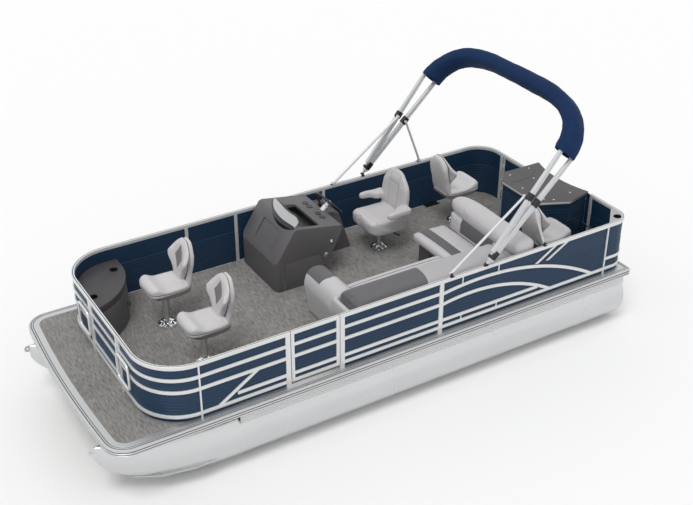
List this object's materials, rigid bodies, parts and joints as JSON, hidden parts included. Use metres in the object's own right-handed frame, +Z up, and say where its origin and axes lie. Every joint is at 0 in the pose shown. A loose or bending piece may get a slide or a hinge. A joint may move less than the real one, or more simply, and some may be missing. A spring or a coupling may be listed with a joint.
{
  "type": "pontoon boat",
  "caption": "Open pleasure boat on two aluminium tubes: fenced deck, lounge, helm console, swivel fishing seats and a sun top folded in its boot.",
  "frame": {"origin": "centre of the boat's bounding box in plan, at the bottom of the keels", "axes": "+X towards the bow, +Y to port, +Z up"},
  "size_m": [6.7849, 2.59, 2.9459],
  "materials": {
    "polished_aluminium": "polished",
    "fence_rail": "satin silver",
    "fence_panel": "gloss dark blue",
    "deck_trim": "brushed",
    "floor_vinyl": "woven grey",
    "plywood": "treated",
    "dark_moulding": "moulded",
    "light_moulding": "moulded",
    "light_vinyl": "smooth",
    "mid_vinyl": "smooth",
    "boot_cloth": "woven",
    "clear_screen": "tinted",
    "bright_metal": "polished",
    "black_plastic": "moulded",
    "top_tube": "anodised"
  },
  "bodies": {
    "hull": {"port_pontoon": "polished_aluminium", "starboard_pontoon": "polished_aluminium", "risers": "polished_aluminium", "cross_members": "polished_aluminium", "motor_pod": "polished_aluminium", "deck_edge": "deck_trim", "deck_board": "plywood", "floor_covering": "floor_vinyl", "port_bow_corner": "fence_rail", "starboard_bow_corner": "fence_rail", "port_bow_side": "fence_rail", "port_aft_side": "fence_rail", "starboard_side": "fence_rail", "port_stern_corner": "fence_rail", "starboard_stern_corner": "fence_rail", "port_bow_corner_panel": "fence_panel", "starboard_bow_corner_panel": "fence_panel", "port_bow_side_panel": "fence_panel", "port_aft_side_panel": "fence_panel", "starboard_side_panel": "fence_panel", "port_stern_corner_panel": "fence_panel", "starboard_stern_corner_panel": "fence_panel", "station_cabinet": "dark_moulding", "station_top": "dark_moulding", "corner_shelf": "light_moulding", "bow_console": "dark_moulding", "bow_console_top": "dark_moulding", "helm_console": "dark_moulding", "helm_pod": "dark_moulding", "throttle": "black_plastic", "windscreen": "clear_screen", "port_seat_base": "light_moulding", "aft_seat_base": "light_moulding", "port_seat_cushion": "light_vinyl", "aft_seat_cushion": "light_vinyl", "bench_back": "light_vinyl", "port_back_front": "mid_vinyl", "port_back_aft": "light_vinyl", "lounge_arm": "light_vinyl", "seat_pedestals": "bright_metal", "rail_feet": "bright_metal"},
    "bow_gate_leaf": {"bow_gate": "fence_rail", "bow_gate_panel": "fence_panel"},
    "port_gate_leaf": {"port_gate": "fence_rail", "port_gate_panel": "fence_panel"},
    "stern_gate_leaf": {"stern_gate": "fence_rail", "stern_gate_panel": "fence_panel"},
    "locker_door": {"helm_door": "light_moulding"},
    "wheel": {"steering_wheel": "black_plastic"},
    "bow_port_seat": {"bow_seat_port": "light_vinyl"},
    "bow_starboard_seat": {"bow_seat_starboard": "light_vinyl"},
    "aft_port_seat": {"aft_seat_port": "light_vinyl"},
    "aft_starboard_seat": {"aft_seat_starboard": "light_vinyl"},
    "helm_seat": {"helm_chair": "light_vinyl"},
    "sun_top": {"top_boot": "boot_cloth", "top_bows": "top_tube", "top_clamps": "black_plastic"},
    "front_strut_pair": {"front_struts": "top_tube"},
    "rear_strut_pair": {"rear_struts": "top_tube"}
  },
  "joints": [
    {"name": "bow_gate_hinge", "type": "hinge", "parent": "hull", "child": "bow_gate_leaf", "pos_m": [2.8365, 0.411, 1.1], "axis": [0, 0, 1], "range_deg": [0, 95]},
    {"name": "port_gate_hinge", "type": "hinge", "parent": "hull", "child": "port_gate_leaf", "pos_m": [1.3905, 1.182, 1.1], "axis": [0, 0, 1], "range_deg": [0, 95]},
    {"name": "stern_gate_hinge", "type": "hinge", "parent": "hull", "child": "stern_gate_leaf", "pos_m": [-2.7215, -0.791, 1.1], "axis": [0, 0, -1], "range_deg": [0, 95]},
    {"name": "locker_door_hinge", "type": "hinge", "parent": "hull", "child": "locker_door", "pos_m": [0.6025, -0.339, 0.9], "axis": [0, 0, -1], "range_deg": [0, 50]},
    {"name": "wheel_turn", "type": "hinge", "parent": "hull", "child": "wheel", "pos_m": [-0.1925, -0.75, 1.44], "axis": [-0.7314, 0, 0.682], "range_deg": [-540, 540]},
    {"name": "bow_port_swivel", "type": "hinge", "parent": "hull", "child": "bow_port_seat", "pos_m": [1.9355, 0.40275, 1.14], "axis": [0, 0, 1], "continuous": true},
    {"name": "bow_starboard_swivel", "type": "hinge", "parent": "hull", "child": "bow_starboard_seat", "pos_m": [1.9855, -0.43512, 1.14], "axis": [0, 0, 1], "continuous": true},
    {"name": "aft_port_swivel", "type": "hinge", "parent": "hull", "child": "aft_port_seat", "pos_m": [-2.1315, 0.78348, 1.14], "axis": [0, 0, 1], "continuous": true},
    {"name": "aft_starboard_swivel", "type": "hinge", "parent": "hull", "child": "aft_starboard_seat", "pos_m": [-1.9515, -0.6993, 1.14], "axis": [0, 0, 1], "continuous": true},
    {"name": "helm_seat_swivel", "type": "hinge", "parent": "hull", "child": "helm_seat", "pos_m": [-0.7965, -0.62678, 1.04], "axis": [0, 0, 1], "continuous": true},
    {"name": "sun_top_tilt", "type": "hinge", "parent": "hull", "child": "sun_top", "pos_m": [-0.9285, 0, 1.405], "axis": [0, 1, 0], "range_deg": [-30, 35]},
    {"name": "front_strut_tilt", "type": "hinge", "parent": "hull", "child": "front_strut_pair", "pos_m": [-0.5015, 0, 1.405], "axis": [0, 1, 0], "range_deg": [-21, 24.5]},
    {"name": "rear_strut_tilt", "type": "hinge", "parent": "hull", "child": "rear_strut_pair", "pos_m": [-1.7245, 0, 1.405], "axis": [0, 1, 0], "range_deg": [-16, 18.5]}
  ],
  "couplings": [
    {"joint": "front_strut_tilt", "follows": "sun_top_tilt", "ratio": 0.69},
    {"joint": "rear_strut_tilt", "follows": "sun_top_tilt", "ratio": 0.525}
  ]
}
